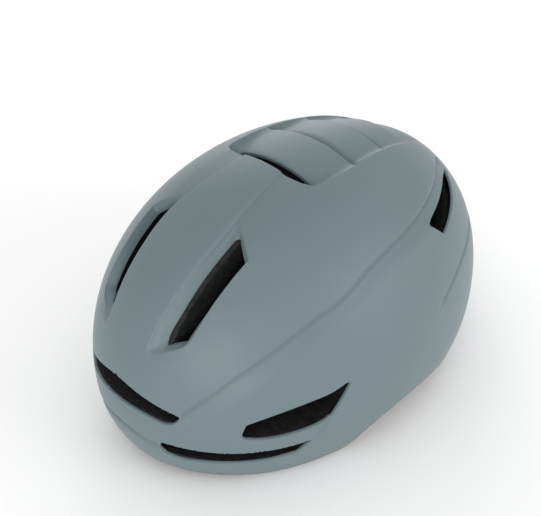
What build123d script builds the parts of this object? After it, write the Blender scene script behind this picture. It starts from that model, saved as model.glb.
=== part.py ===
from build123d import *
from math import cos, pi, radians, sin, sqrt
import os

# Aero road cycling helmet, standing on a surface. Millimetres, +Z up, the front faces -Y,
# +X is the wearer's left. The origin is below the middle of the helmet, on the surface.

# Outer shell: its plan is an ellipse at every height, largest at the equator
EQUATOR_Z = 41.0
HALF_WIDTH = 104.0
HALF_LENGTH = 151.0
CROWN_RISE = 122.0
SKIRT_RISE = 103.0
SKIRT_LATITUDE = 28.0
SKIN = 1.6
TRIM_HEIGHT = 2.0
TRIM_INSET = 0.8

# Head cavity in the foam liner
CAVITY_Y = -5.0
CAVITY_HALF_WIDTH = 85.0
CAVITY_HALF_LENGTH = 107.0
CAVITY_RISE = 95.0
CHANNEL_DEPTH = 8.0
CHANNEL_WIDTH = 12.0
CHANNEL_X = (-40.0, 0.0, 40.0)
CHANNEL_FLOOR_Z = 62.0

# Exhaust louvres on the crown: front edge, back edge, depth and half angle of each
LOUVRE_AXIS_Z = 52.0
LOUVRES = (
    (-27.0, 12.0, 11.0, 19.5),
    (12.0, 45.0, 8.0, 18.5),
    (45.0, 76.0, 6.0, 17.0),
    (76.0, 107.0, 4.0, 13.5),
)
LOUVRE_CREST_DROP = 0.5
SLOT_HALF_WIDTH = 30.0
SLOT_DEPTH = 31.5
SLOT_BACK_Y = -20.0
SLOT_FRONT_Y = -31.0

# Depth, from the middle of the helmet, of the pockets behind the side and lower brow inlets
SIDE_INLET_FLOOR = 99.0
LOWER_INLET_FLOOR = 107.0

# Pads
PAD_GAP = 1.4
PAD_THICKNESS = 4.0
PAD_CORNER = 8.0
PATCH_GAP = 0.2
PATCH_THICKNESS = 1.0
PATCH_RADIUS = 7.0
BROW_PAD_BOTTOM = 24.0
BROW_PAD_TOP = 44.0
BROW_PAD_BACK_Y = -62.0
CROWN_PAD_X = 21.0
CROWN_PAD_WIDTH = 22.0
CROWN_PAD_LENGTH = 85.0

# Retention cradle: built in a frame that starts on the temple pins' axis and slopes down to the nape
PIN_Y = -60.0
PIN_Z = 56.0
CRADLE_SLOPE = 12.0
PIN_RADIUS = 2.5
PIN_CLEARANCE = 0.08
PIN_BASE_RADIUS = 6.0
PIN_BASE_X = 69.5
PIN_FLOOR_X = 74.5
POCKET_CLEARANCE = 0.3
PIN_HEAD_RADIUS = 4.0
PIN_TIP_X = 58.0
PIN_HEAD_X = 59.5
BAND_THICKNESS = 1.8
BAND_HALF_HEIGHT = 7.8
BAND_TEMPLE_X = 67.25
EYELET_RADIUS = 5.0
EYELET_THICKNESS = 2.5

# Rack and pinion of the fit dial
PITCH_RADIUS = 4.0
PINION_TEETH = 10
TOOTH_PITCH = 2 * pi * PITCH_RADIUS / PINION_TEETH
ADDENDUM = 0.6
DEDENDUM = 0.8
TOOTH_TIP_HALF = 0.22
TOOTH_PITCH_HALF = 0.46
TOOTH_ROOT_HALF = 0.78
PLATE_FRONT = 140.0
PLATE_THICKNESS = 2.0
RACK_CLEARANCE = 0.3
RACK_THICKNESS = 3.0
RACK_END_X = -7.0
HOUSING_HALF_WIDTH = 22.0
HOUSING_HALF_HEIGHT = 14.0
KNOB_RADIUS = 13.0
KNOB_LENGTH = 9.0
KNOB_GRIPS = 12
RAIL_MIDDLE = 9.1
RAIL_HEIGHT = 1.8
BOSS_RADIUS = 2.9
PINION_GAP = 0.1
SCREW_RADIUS = 1.3
SCREW_GRIP = 4.0
SCREW_HEAD_RADIUS = 2.8
SCREW_HEAD_DEPTH = 3.0
GRIP_RADIUS = 1.5
NAPE_PAD_X = 12.0
NAPE_PAD_WIDTH = 16.0
NAPE_PAD_CORNER = 5.0

# Height stem: an arc about the temple pins' axis, so that it slides along itself in its guide
STEM_HALF_WIDTH = 5.0
STEM_START = 5.6
STEM_FOOT = 12.0
STEM_END = 20.8
GUIDE_START = 12.0
GUIDE_END = 19.0
GUIDE_CLEARANCE = 0.4
GUIDE_WALL = 3.0
GUIDE_BACK_LOW = 159.3
GUIDE_BACK_HIGH = 154.2

# Harness webbing, folded up inside the cavity
WEBBING = 1.4
WEBBING_WIDTH = 14.0
JOIN_GAP = 0.2
STRAP_BOTTOM = 27.0
LEG_BOTTOM = 29.0
DIVIDER_FRONT_Y = -8.0
DIVIDER_BACK_Y = 14.0
DIVIDER_X = 80.2
DIVIDER_THICKNESS = 4.8
ANCHOR_THICKNESS = 3.5
ANCHOR_GAP = 0.3
BUCKLE_Y = -82.0
BUCKLE_THICKNESS = 8.0
BUCKLE_HEIGHT = 18.0
SOCKET_START_X = -40.0
SOCKET_END_X = -8.0
PLUG_END_X = 10.0
PRONG_END_X = -30.0
CHIN_PAD_THICKNESS = 3.0
SOCKET_WALL = 2.0
PLUG_GAP = 0.3
PRONG_HEIGHT = 2.6
PRONG_THICKNESS = 3.2

CRADLE = Plane(
    origin=(0, PIN_Y, PIN_Z),
    x_dir=(1, 0, 0),
    z_dir=(0, sin(radians(CRADLE_SLOPE)), cos(radians(CRADLE_SLOPE))),
)
RACK_FRONT = PLATE_FRONT + PLATE_THICKNESS + RACK_CLEARANCE
RACK_MIDDLE = RACK_FRONT + RACK_THICKNESS / 2
COVER_FRONT = RACK_FRONT + RACK_THICKNESS + RACK_CLEARANCE
COVER_BACK = COVER_FRONT + PLATE_THICKNESS
KNOB_FRONT = COVER_BACK + 0.4
KNOB_BACK = KNOB_FRONT + KNOB_LENGTH
STEM_INNER = COVER_BACK - 1.0


def crown_height(y):
    """Height of the outer surface above the ground in the middle plane."""
    return EQUATOR_Z + CROWN_RISE * sqrt(1 - (y / HALF_LENGTH) ** 2)


def egg(half_width, half_length, rise, centre_y, latitudes):
    """A ball stretched to three half sizes, between two latitudes, centred on the equator."""
    unit = 100.0
    factors = (half_width / unit, half_length / unit, rise / unit)
    with BuildPart() as ball:
        with Locations((0, centre_y / factors[1], EQUATOR_Z / factors[2])):
            Sphere(unit, arc_size1=latitudes[0], arc_size2=latitudes[1], align=None)
    return scale(ball.part, by=factors)


def outer_dome(inset):
    """Closed egg-like solid, inset from the outer surface. Its skirt tucks in faster than its crown."""
    half_width = HALF_WIDTH - inset
    half_length = HALF_LENGTH - inset
    crown = egg(half_width, half_length, CROWN_RISE - inset, 0, (0, 90))
    skirt = egg(half_width, half_length, SKIRT_RISE, 0, (-SKIRT_LATITUDE, 0))
    return crown + skirt


def cavity(inset):
    """Head cavity: a half egg above the equator and straight walls below it, inset from its surface."""
    half_width = CAVITY_HALF_WIDTH - inset
    half_length = CAVITY_HALF_LENGTH - inset
    with BuildPart() as space:
        add(egg(half_width, half_length, CAVITY_RISE - inset, CAVITY_Y, (0, 90)))
        with BuildSketch(Plane.XY.offset(EQUATOR_Z)):
            with Locations((0, CAVITY_Y)):
                Ellipse(half_width, half_length)
        extrude(amount=-(EQUATOR_Z + 15 + inset))
    return space.part


def below_rim(raise_by):
    """Everything under the rim line, which arches over the ears and rests at the temples and nape."""
    with BuildPart() as region:
        with BuildSketch(Plane.YZ):
            with BuildLine():
                Spline(
                    (-170, 8 + raise_by),
                    (-120, 5 + raise_by),
                    (-80, raise_by),
                    tangents=((1, 0), (1, 0)),
                )
                Line((-80, raise_by), (-58, raise_by))
                Spline(
                    (-58, raise_by),
                    (-40, 11 + raise_by),
                    (5, 23 + raise_by),
                    (45, 11 + raise_by),
                    (84, raise_by),
                    tangents=((1, 0), (1, 0)),
                )
                Line((84, raise_by), (125, raise_by))
                Spline((125, raise_by), (170, 6 + raise_by), tangents=((1, 0), (1, 0.1)))
                Polyline((170, 6 + raise_by), (170, -30), (-170, -30), (-170, 8 + raise_by))
            make_face()
        extrude(amount=HALF_WIDTH + 10, both=True)
    return region.part


def louvre_cut(grow):
    """Stepped ramps that rise to the rear, crowned across like the shell. grow thickens the cut."""
    with BuildPart() as cut:
        for front, back, depth, half_angle in LOUVRES:
            lean = radians(half_angle)
            start = Plane(origin=(0, 0, LOUVRE_AXIS_Z), x_dir=(0, 1, 0), z_dir=(cos(lean), 0, sin(lean)))
            low = crown_height(front) - depth - grow - LOUVRE_AXIS_Z
            high = crown_height(back) - LOUVRE_CREST_DROP - grow - LOUVRE_AXIS_Z
            top = EQUATOR_Z + CROWN_RISE + 12 - LOUVRE_AXIS_Z
            with BuildSketch(start):
                Polygon(
                    (front - grow, low),
                    (back + grow, high),
                    (back + grow, top),
                    (front - grow, top),
                    align=None,
                )
            revolve(axis=Axis((0, 0, LOUVRE_AXIS_Z), (0, 1, 0)), revolution_arc=2 * half_angle)
    return cut.part


TOP_INLET = Plane(origin=(0, -103, 122), x_dir=(1, 0, 0), z_dir=(0, -0.6, 0.8))
SIDE_INLET = Plane(origin=(0, 0, EQUATOR_Z), x_dir=(0.5, 0.866, 0), z_dir=(0.866, -0.5, 0))
LOW_INLET = Plane(origin=(0, 0, EQUATOR_Z), x_dir=(0.77, 0.638, 0), z_dir=(0.638, -0.77, 0))
REAR_OUTLET = Plane(origin=(60, 70, 118), x_dir=(0.542, -0.833, 0.109), z_dir=(0.551, 0.451, 0.702))
LOW_INLET_OUTLINE = [(-70, -12), (-68, -3), (-30, -7.5), (18, -9), (6, -18), (-30, -17)]
# One row for each vent of the left half: plane, where the cut starts and ends along its normal, outline
VENTS = (
    (TOP_INLET, -46, 14, [(27, -35), (36, -27), (41, 6), (40.5, 26), (29, 37)]),
    (SIDE_INLET, SIDE_INLET_FLOOR, 140, [(-66, 3), (-65, 15), (-20, 22), (1, 26), (-10, 7), (-24, 2)]),
    (SIDE_INLET, 60, 120, [(-58, 5), (-58, 13), (-34, 16), (-34, 5)]),
    (LOW_INLET, LOWER_INLET_FLOOR, 150, LOW_INLET_OUTLINE),
    (REAR_OUTLET, -54, 16, [(-34, -3), (39, -3), (31, 11), (4, 9)]),
)
VENT_CORNER = 1.5


def vents_cut():
    """All air inlets and outlets, as one cutting body."""
    with BuildPart() as cut:
        for plane, inner, outer, outline in VENTS:
            with BuildSketch(plane.offset(inner)):
                with BuildLine():
                    FilletPolyline(*outline, radius=VENT_CORNER, close=True)
                make_face()
            extrude(amount=outer - inner)
        mirror(about=Plane.YZ)
        # upper brow inlet, right across the front
        with BuildSketch(Plane.XZ.offset(165)):
            with BuildLine():
                ThreePointArc((-41, 62), (0, 72.5), (41, 62))
                ThreePointArc((41, 62), (42.5, 57), (37, 54.5))
                ThreePointArc((37, 54.5), (0, 58), (-37, 54.5))
                ThreePointArc((-37, 54.5), (-42.5, 57), (-41, 62))
            make_face()
        extrude(amount=-72)
    return cut.part


def channels_cut():
    """Lengthwise air channels in the roof of the cavity."""
    with BuildPart() as cut:
        add(cavity(-CHANNEL_DEPTH))
        with BuildSketch(Plane.XY.offset(CHANNEL_FLOOR_Z)):
            with Locations(*[(x, CAVITY_Y) for x in CHANNEL_X]):
                Rectangle(CHANNEL_WIDTH, 2 * CAVITY_HALF_LENGTH - 30)
        extrude(amount=CAVITY_RISE, mode=Mode.INTERSECT)
    return cut.part


def slot_cut():
    """Exhaust slot under the front lip of the louvres, down into the cavity."""
    with BuildPart() as cut:
        with BuildSketch(Plane.XY.offset(EQUATOR_Z + CAVITY_RISE - 16)):
            with Locations((0, (SLOT_FRONT_Y + SLOT_BACK_Y) / 2)):
                Rectangle(2 * SLOT_HALF_WIDTH, SLOT_BACK_Y - SLOT_FRONT_Y)
        extrude(amount=SLOT_DEPTH)
    return cut.part


def pin_plane(x):
    """Sketch plane square to the temple pins: x backwards along the cradle, y up."""
    return Plane(
        origin=(x, PIN_Y, PIN_Z),
        x_dir=(0, cos(radians(CRADLE_SLOPE)), -sin(radians(CRADLE_SLOPE))),
        z_dir=(1, 0, 0),
    )


def finish(piece, name):
    """Label a finished part and write it as parts/name.step."""
    piece.label = name
    export_step(piece, f"parts/{name}.step")


def wall_strip(gap, thickness, start_y, end_y):
    """Plan of a strip along the straight wall of the cavity, between two stations from front to back."""
    with BuildSketch() as strip:
        with Locations((0, CAVITY_Y)):
            Ellipse(CAVITY_HALF_WIDTH - gap, CAVITY_HALF_LENGTH - gap)
            Ellipse(
                CAVITY_HALF_WIDTH - gap - thickness, CAVITY_HALF_LENGTH - gap - thickness, mode=Mode.SUBTRACT
            )
        with Locations((0, (start_y + end_y) / 2)):
            Rectangle(2 * HALF_WIDTH, end_y - start_y, mode=Mode.INTERSECT)
    return strip.sketch


def pad_layer(gap, thickness):
    """The space a pad can take: a layer along the cavity wall."""
    return cavity(gap) - cavity(gap + thickness)


os.makedirs("parts", exist_ok=True)

# ---- shell, foam and rim ----
vents = vents_cut()
head_space = cavity(0)
rim_cut = below_rim(TRIM_HEIGHT)

with BuildPart() as foam_blank:
    add(outer_dome(SKIN))
    add(louvre_cut(SKIN), mode=Mode.SUBTRACT)
    add(rim_cut, mode=Mode.SUBTRACT)

with BuildPart() as outer_shell:
    add(outer_dome(0))
    add(louvre_cut(0), mode=Mode.SUBTRACT)
    add(rim_cut, mode=Mode.SUBTRACT)
    add(foam_blank.part, mode=Mode.SUBTRACT)
    add(vents, mode=Mode.SUBTRACT)
    add(slot_cut(), mode=Mode.SUBTRACT)
finish(outer_shell.part, "outer_shell")

with BuildPart() as eps_liner:
    add(foam_blank.part)
    add(head_space, mode=Mode.SUBTRACT)
    add(channels_cut(), mode=Mode.SUBTRACT)
    add(vents, mode=Mode.SUBTRACT)
    add(slot_cut(), mode=Mode.SUBTRACT)
    for side in (1, -1):
        with BuildSketch(pin_plane(side * (BAND_TEMPLE_X - EYELET_THICKNESS))):
            Circle(PIN_BASE_RADIUS + POCKET_CLEARANCE)
        pocket_depth = PIN_FLOOR_X + POCKET_CLEARANCE - BAND_TEMPLE_X + EYELET_THICKNESS
        extrude(amount=side * pocket_depth, mode=Mode.SUBTRACT)
finish(eps_liner.part, "eps_liner")

with BuildPart() as rim_trim:
    add(outer_dome(TRIM_INSET))
    add(rim_cut, mode=Mode.INTERSECT)
    add(below_rim(0), mode=Mode.SUBTRACT)
    add(head_space, mode=Mode.SUBTRACT)
finish(rim_trim.part, "rim_trim")

# ---- comfort pads and their hook patches ----
with BuildPart() as brow_pad:
    with BuildSketch(Plane.XY.offset(BROW_PAD_BOTTOM)):
        add(wall_strip(PAD_GAP, PAD_THICKNESS, -HALF_LENGTH, BROW_PAD_BACK_Y))
    extrude(amount=BROW_PAD_TOP - BROW_PAD_BOTTOM)
finish(brow_pad.part, "brow_pad")

for name, side in (("crown_pad_left", 1), ("crown_pad_right", -1)):
    with BuildPart() as crown_pad:
        add(pad_layer(PAD_GAP, PAD_THICKNESS))
        with BuildSketch(Plane.XY.offset(EQUATOR_Z + 20)):
            with Locations((side * CROWN_PAD_X, 0)):
                RectangleRounded(CROWN_PAD_WIDTH, CROWN_PAD_LENGTH, PAD_CORNER)
        extrude(amount=CAVITY_RISE, mode=Mode.INTERSECT)
    finish(crown_pad.part, name)

with BuildPart() as hook_patches:
    add(pad_layer(PATCH_GAP, PATCH_THICKNESS))
    with BuildSketch(Plane.XY.offset(EQUATOR_Z + 20)):
        with Locations(*[(x, y) for x in (-CROWN_PAD_X, CROWN_PAD_X) for y in (-28, 28)]):
            Circle(PATCH_RADIUS)
    extrude(amount=CAVITY_RISE, mode=Mode.INTERSECT)
    with BuildSketch(Plane.XY.offset(BROW_PAD_BOTTOM + 3)):
        add(wall_strip(PATCH_GAP, PATCH_THICKNESS, -HALF_LENGTH, 0))
        with Locations((-35, -HALF_LENGTH / 2), (0, -HALF_LENGTH / 2), (35, -HALF_LENGTH / 2)):
            Rectangle(2 * PATCH_RADIUS, HALF_LENGTH, mode=Mode.INTERSECT)
    extrude(amount=2 * PATCH_RADIUS)
finish(hook_patches.part, "hook_patches")


# ---- retention cradle ----
def cradle_face(depth):
    """Sketch plane across the cradle at a depth behind the pin axis: x to the left, y up."""
    normal = CRADLE.from_local_coords(Vector(0, -1, 0)) - CRADLE.origin
    return Plane(origin=CRADLE.from_local_coords(Vector(0, depth, 0)), x_dir=(1, 0, 0), z_dir=normal)


def rack_tooth(x, root, direction):
    """Corners of one straight-flanked rack tooth."""
    half_widths = (TOOTH_ROOT_HALF, TOOTH_PITCH_HALF, TOOTH_TIP_HALF)
    heights = [root + direction * h for h in (0, DEDENDUM, DEDENDUM + ADDENDUM)]
    rising = [(x - w, h) for w, h in zip(half_widths, heights)]
    falling = [(x + w, h) for w, h in zip(reversed(half_widths), reversed(heights))]
    return rising + falling


def arc_band(inner, outer, start, end):
    """Sector between two radii about the pin axis. Angles in degrees."""
    with BuildSketch() as sector:
        with BuildLine():
            near = CenterArc((0, 0), inner, start, end - start)
            far = CenterArc((0, 0), outer, start, end - start)
            Line(near @ 0, far @ 0)
            Line(near @ 1, far @ 1)
        make_face()
    return sector.sketch


for name, side in (("side_band_left", 1), ("side_band_right", -1)):
    with BuildPart() as band:
        with BuildSketch(CRADLE.offset(-BAND_HALF_HEIGHT)):
            with BuildLine():
                straight = Line((side * BAND_TEMPLE_X, 0), (side * BAND_TEMPLE_X, 6))
                Spline(
                    straight @ 1,
                    (side * 75.5, 62),
                    (side * 60, 121),
                    (side * 27, RACK_MIDDLE),
                    tangents=((0, 1), (-side, 0)),
                )
            trace(line_width=BAND_THICKNESS)
        extrude(amount=2 * BAND_HALF_HEIGHT)
        with BuildSketch(pin_plane(side * BAND_TEMPLE_X)):
            Circle(EYELET_RADIUS)
        extrude(amount=EYELET_THICKNESS / 2, both=True)
        with BuildSketch(pin_plane(side * BAND_TEMPLE_X)):
            Circle(PIN_RADIUS + PIN_CLEARANCE)
        extrude(amount=EYELET_THICKNESS, both=True, mode=Mode.SUBTRACT)
        rack_root = -side * (PITCH_RADIUS + DEDENDUM)
        rack_edge = -side * BAND_HALF_HEIGHT
        with BuildSketch(cradle_face(RACK_FRONT)):
            Polygon(
                (side * RACK_END_X, rack_root),
                (side * 28, rack_root),
                (side * 28, rack_edge),
                (side * RACK_END_X, rack_edge),
                align=None,
            )
            for n in range(-1, 5):
                Polygon(*rack_tooth(side * TOOTH_PITCH * (n - 0.5), rack_root, side), align=None)
        extrude(amount=-RACK_THICKNESS)
    finish(band.part, name)

for name, side in (("temple_pin_left", 1), ("temple_pin_right", -1)):
    with BuildPart() as temple_pin:
        with BuildSketch(pin_plane(side * PIN_BASE_X)):
            Circle(PIN_BASE_RADIUS)
        extrude(amount=side * (PIN_FLOOR_X - PIN_BASE_X))
        with BuildSketch(pin_plane(side * PIN_HEAD_X)):
            Circle(PIN_RADIUS)
        extrude(amount=side * (PIN_BASE_X - PIN_HEAD_X))
        with BuildSketch(pin_plane(side * PIN_TIP_X)):
            Circle(PIN_HEAD_RADIUS)
        extrude(amount=side * (PIN_HEAD_X - PIN_TIP_X))
    finish(temple_pin.part, name)

with BuildPart() as dial_housing:
    with BuildSketch(cradle_face(PLATE_FRONT)):
        RectangleRounded(2 * HOUSING_HALF_WIDTH, 2 * HOUSING_HALF_HEIGHT, PAD_CORNER)
    extrude(amount=-PLATE_THICKNESS)
    with BuildSketch(cradle_face(PLATE_FRONT + PLATE_THICKNESS)):
        for side in (1, -1):
            with Locations((0, side * RAIL_MIDDLE)):
                Rectangle(2 * HOUSING_HALF_WIDTH - 6, RAIL_HEIGHT)
    extrude(amount=-(RACK_THICKNESS + 2 * RACK_CLEARANCE))
finish(dial_housing.part, "dial_housing")

with BuildPart() as dial_cover:
    with BuildSketch(cradle_face(COVER_FRONT)):
        RectangleRounded(2 * HOUSING_HALF_WIDTH, 2 * HOUSING_HALF_HEIGHT, PAD_CORNER)
        with Locations((0, HOUSING_HALF_HEIGHT)):
            Rectangle(2 * STEM_HALF_WIDTH, STEM_FOOT)
        Circle(BOSS_RADIUS + PIN_CLEARANCE, mode=Mode.SUBTRACT)
    extrude(amount=-PLATE_THICKNESS)
    with BuildSketch(pin_plane(-STEM_HALF_WIDTH)):
        add(arc_band(STEM_INNER, STEM_INNER + PLATE_THICKNESS, STEM_START, STEM_END))
    extrude(amount=2 * STEM_HALF_WIDTH)
finish(dial_cover.part, "dial_cover")

with BuildPart() as height_guide:
    with BuildSketch(pin_plane(-STEM_HALF_WIDTH - GUIDE_WALL)):
        corners = (
            (STEM_INNER - 2, GUIDE_START),
            (GUIDE_BACK_LOW, GUIDE_START),
            (GUIDE_BACK_HIGH, GUIDE_END),
            (STEM_INNER - 2, GUIDE_END),
        )
        Polygon(*[(r * cos(radians(a)), r * sin(radians(a))) for r, a in corners], align=None)
    extrude(amount=2 * (STEM_HALF_WIDTH + GUIDE_WALL))
    with BuildSketch(pin_plane(-STEM_HALF_WIDTH - GUIDE_CLEARANCE)):
        channel_back = STEM_INNER + PLATE_THICKNESS + GUIDE_CLEARANCE
        add(arc_band(STEM_INNER - GUIDE_CLEARANCE, channel_back, GUIDE_START - 2, GUIDE_END + 2))
    extrude(amount=2 * (STEM_HALF_WIDTH + GUIDE_CLEARANCE), mode=Mode.SUBTRACT)
finish(height_guide.part, "height_guide")

for name, side in (("nape_pad_left", 1), ("nape_pad_right", -1)):
    with BuildPart() as nape_pad:
        with BuildSketch(cradle_face(PLATE_FRONT)):
            with Locations((side * NAPE_PAD_X, 0)):
                RectangleRounded(NAPE_PAD_WIDTH, 2 * HOUSING_HALF_HEIGHT - 3, NAPE_PAD_CORNER)
        extrude(amount=PAD_THICKNESS)
    finish(nape_pad.part, name)

with BuildPart() as pinion:
    with BuildSketch(cradle_face(RACK_FRONT + PINION_GAP)):
        Circle(PITCH_RADIUS - DEDENDUM)
        with PolarLocations(0, PINION_TEETH, start_angle=90):
            Polygon(
                (PITCH_RADIUS - DEDENDUM - 0.4, -TOOTH_ROOT_HALF),
                (PITCH_RADIUS, -TOOTH_PITCH_HALF),
                (PITCH_RADIUS + ADDENDUM, -TOOTH_TIP_HALF),
                (PITCH_RADIUS + ADDENDUM, TOOTH_TIP_HALF),
                (PITCH_RADIUS, TOOTH_PITCH_HALF),
                (PITCH_RADIUS - DEDENDUM - 0.4, TOOTH_ROOT_HALF),
                align=None,
            )
    extrude(amount=-(RACK_THICKNESS - 2 * PINION_GAP))
    with BuildSketch(cradle_face(RACK_FRONT + PINION_GAP)):
        Circle(BOSS_RADIUS)
    extrude(amount=-(KNOB_FRONT - RACK_FRONT - PINION_GAP))
    with BuildSketch(cradle_face(KNOB_FRONT)):
        Circle(SCREW_RADIUS)
    extrude(amount=SCREW_GRIP, mode=Mode.SUBTRACT)
finish(pinion.part, "pinion")

with BuildPart() as dial_knob:
    with BuildSketch(cradle_face(KNOB_FRONT)):
        Circle(KNOB_RADIUS)
        with PolarLocations(KNOB_RADIUS + 0.6, KNOB_GRIPS):
            Circle(GRIP_RADIUS, mode=Mode.SUBTRACT)
        Circle(SCREW_RADIUS, mode=Mode.SUBTRACT)
    extrude(amount=-KNOB_LENGTH)
    with BuildSketch(cradle_face(KNOB_BACK)):
        Circle(SCREW_HEAD_RADIUS + 0.3)
    extrude(amount=SCREW_HEAD_DEPTH, mode=Mode.SUBTRACT)
finish(dial_knob.part, "dial_knob")

with BuildPart() as dial_screw:
    with BuildSketch(cradle_face(KNOB_BACK - SCREW_HEAD_DEPTH)):
        Circle(SCREW_HEAD_RADIUS)
        RegularPolygon(SCREW_RADIUS, 6, mode=Mode.SUBTRACT)
    extrude(amount=-SCREW_HEAD_DEPTH / 2)
    with BuildSketch(cradle_face(KNOB_BACK - SCREW_HEAD_DEPTH)):
        Circle(SCREW_RADIUS - 0.05)
    extrude(amount=KNOB_LENGTH - SCREW_HEAD_DEPTH + SCREW_GRIP - 0.5)
finish(dial_screw.part, "dial_screw")

# ---- harness: flat webbing, standing on edge along the cavity wall ----
for name, start, end in (("front_strap_anchors", -58, -46), ("rear_strap_anchors", 40, 52)):
    with BuildPart() as anchors:
        with BuildSketch(Plane.XY.offset(LEG_BOTTOM - 2)):
            add(wall_strip(ANCHOR_GAP, ANCHOR_THICKNESS, start, end))
        extrude(amount=WEBBING_WIDTH + 3)
    finish(anchors.part, name)

for label, side in (("left", 1), ("right", -1)):
    with BuildPart() as front_leg:
        with BuildSketch(Plane.XY.offset(LEG_BOTTOM)):
            with BuildLine():
                Spline((side * 81.7, DIVIDER_FRONT_Y - JOIN_GAP), (side * 79.4, -27), (side * 75.8, -46 + JOIN_GAP))
            trace(line_width=WEBBING)
        extrude(amount=WEBBING_WIDTH)
    finish(front_leg.part, f"front_strap_{label}")

    with BuildPart() as rear_leg:
        with BuildSketch(Plane.XY.offset(LEG_BOTTOM)):
            with BuildLine():
                Spline((side * 80.5, DIVIDER_BACK_Y + JOIN_GAP), (side * 78.3, 27), (side * 74.6, 39.4))
            trace(line_width=WEBBING)
        extrude(amount=WEBBING_WIDTH)
    finish(rear_leg.part, f"rear_strap_{label}")

    with BuildPart() as divider:
        with BuildSketch(Plane.XY.offset(STRAP_BOTTOM - 1)):
            with Locations((side * DIVIDER_X, (DIVIDER_FRONT_Y + DIVIDER_BACK_Y) / 2)):
                RectangleRounded(DIVIDER_THICKNESS, DIVIDER_BACK_Y - DIVIDER_FRONT_Y, 1)
        extrude(amount=WEBBING_WIDTH + 4)
    finish(divider.part, f"strap_divider_{label}")

with BuildPart() as chin_strap_left:
    with BuildSketch(Plane.XY.offset(STRAP_BOTTOM)):
        with BuildLine():
            Spline(
                (PLUG_END_X + JOIN_GAP, BUCKLE_Y),
                (50, -70),
                (70, -45),
                (77.5, -22),
                (79.2, DIVIDER_FRONT_Y - JOIN_GAP),
                tangents=((1, 0), (0, 1)),
            )
        trace(line_width=WEBBING)
    extrude(amount=WEBBING_WIDTH)
finish(chin_strap_left.part, "chin_strap_left")

with BuildPart() as chin_strap_right:
    with BuildSketch(Plane.XY.offset(STRAP_BOTTOM)):
        with BuildLine():
            Spline(
                (SOCKET_START_X - JOIN_GAP, BUCKLE_Y),
                (-56, -70),
                (-69.5, -45),
                (-77.5, -22),
                (-79.2, DIVIDER_FRONT_Y - JOIN_GAP),
                tangents=((-1, 0.15), (0, 1)),
            )
        trace(line_width=WEBBING)
    extrude(amount=WEBBING_WIDTH)
finish(chin_strap_right.part, "chin_strap_right")

with BuildPart() as chin_pad:
    with BuildSketch(Plane.XY.offset(STRAP_BOTTOM + 1)):
        with BuildLine():
            Spline((-53.6, -67.9), (-63.2, -51.6), (-70, -35.5))
        trace(line_width=CHIN_PAD_THICKNESS)
    extrude(amount=WEBBING_WIDTH - 2)
finish(chin_pad.part, "chin_pad")

# ---- buckle: a socket and a three-pronged plug that slides out of it along X ----
BUCKLE_Z = STRAP_BOTTOM + WEBBING_WIDTH / 2
socket_middle = (SOCKET_START_X + SOCKET_END_X) / 2
socket_length = SOCKET_END_X - SOCKET_START_X
with BuildPart() as buckle_socket:
    with BuildSketch(Plane.XY.offset(BUCKLE_Z - BUCKLE_HEIGHT / 2)):
        with Locations((socket_middle, BUCKLE_Y)):
            RectangleRounded(socket_length, BUCKLE_THICKNESS, 2)
    extrude(amount=BUCKLE_HEIGHT)
    with BuildSketch(Plane.XY.offset(BUCKLE_Z - BUCKLE_HEIGHT / 2 + SOCKET_WALL)):
        with Locations((socket_middle + SOCKET_WALL, BUCKLE_Y)):
            Rectangle(socket_length, BUCKLE_THICKNESS - 2 * SOCKET_WALL)
    extrude(amount=BUCKLE_HEIGHT - 2 * SOCKET_WALL, mode=Mode.SUBTRACT)
    with BuildSketch(Plane.XY.offset(BUCKLE_Z - BUCKLE_HEIGHT)):
        with Locations((PRONG_END_X + 5, BUCKLE_Y)):
            Rectangle(7, BUCKLE_THICKNESS - 2 * SOCKET_WALL)
    extrude(amount=2 * BUCKLE_HEIGHT, mode=Mode.SUBTRACT)
finish(buckle_socket.part, "buckle_socket")

with BuildPart() as buckle_plug:
    with BuildSketch(Plane.XY.offset(BUCKLE_Z - BUCKLE_HEIGHT / 2 + 1)):
        with Locations(((SOCKET_END_X + PLUG_GAP + PLUG_END_X) / 2, BUCKLE_Y)):
            RectangleRounded(PLUG_END_X - SOCKET_END_X - PLUG_GAP, BUCKLE_THICKNESS - 1, 2)
    extrude(amount=BUCKLE_HEIGHT - 2)
    with BuildSketch(Plane.XZ.offset(-BUCKLE_Y - PRONG_THICKNESS / 2)):
        with Locations(*[((PRONG_END_X + SOCKET_END_X + 1) / 2, BUCKLE_Z + z) for z in (-5, 0, 5)]):
            RectangleRounded(SOCKET_END_X + 1 - PRONG_END_X, PRONG_HEIGHT, 1)
    extrude(amount=PRONG_THICKNESS)
finish(buckle_plug.part, "buckle_plug")
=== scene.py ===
import math

import bmesh
import bpy
import numpy as np
from mathutils import Matrix, Vector
from mathutils.geometry import delaunay_2d_cdt
from mathutils.kdtree import KDTree


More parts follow.
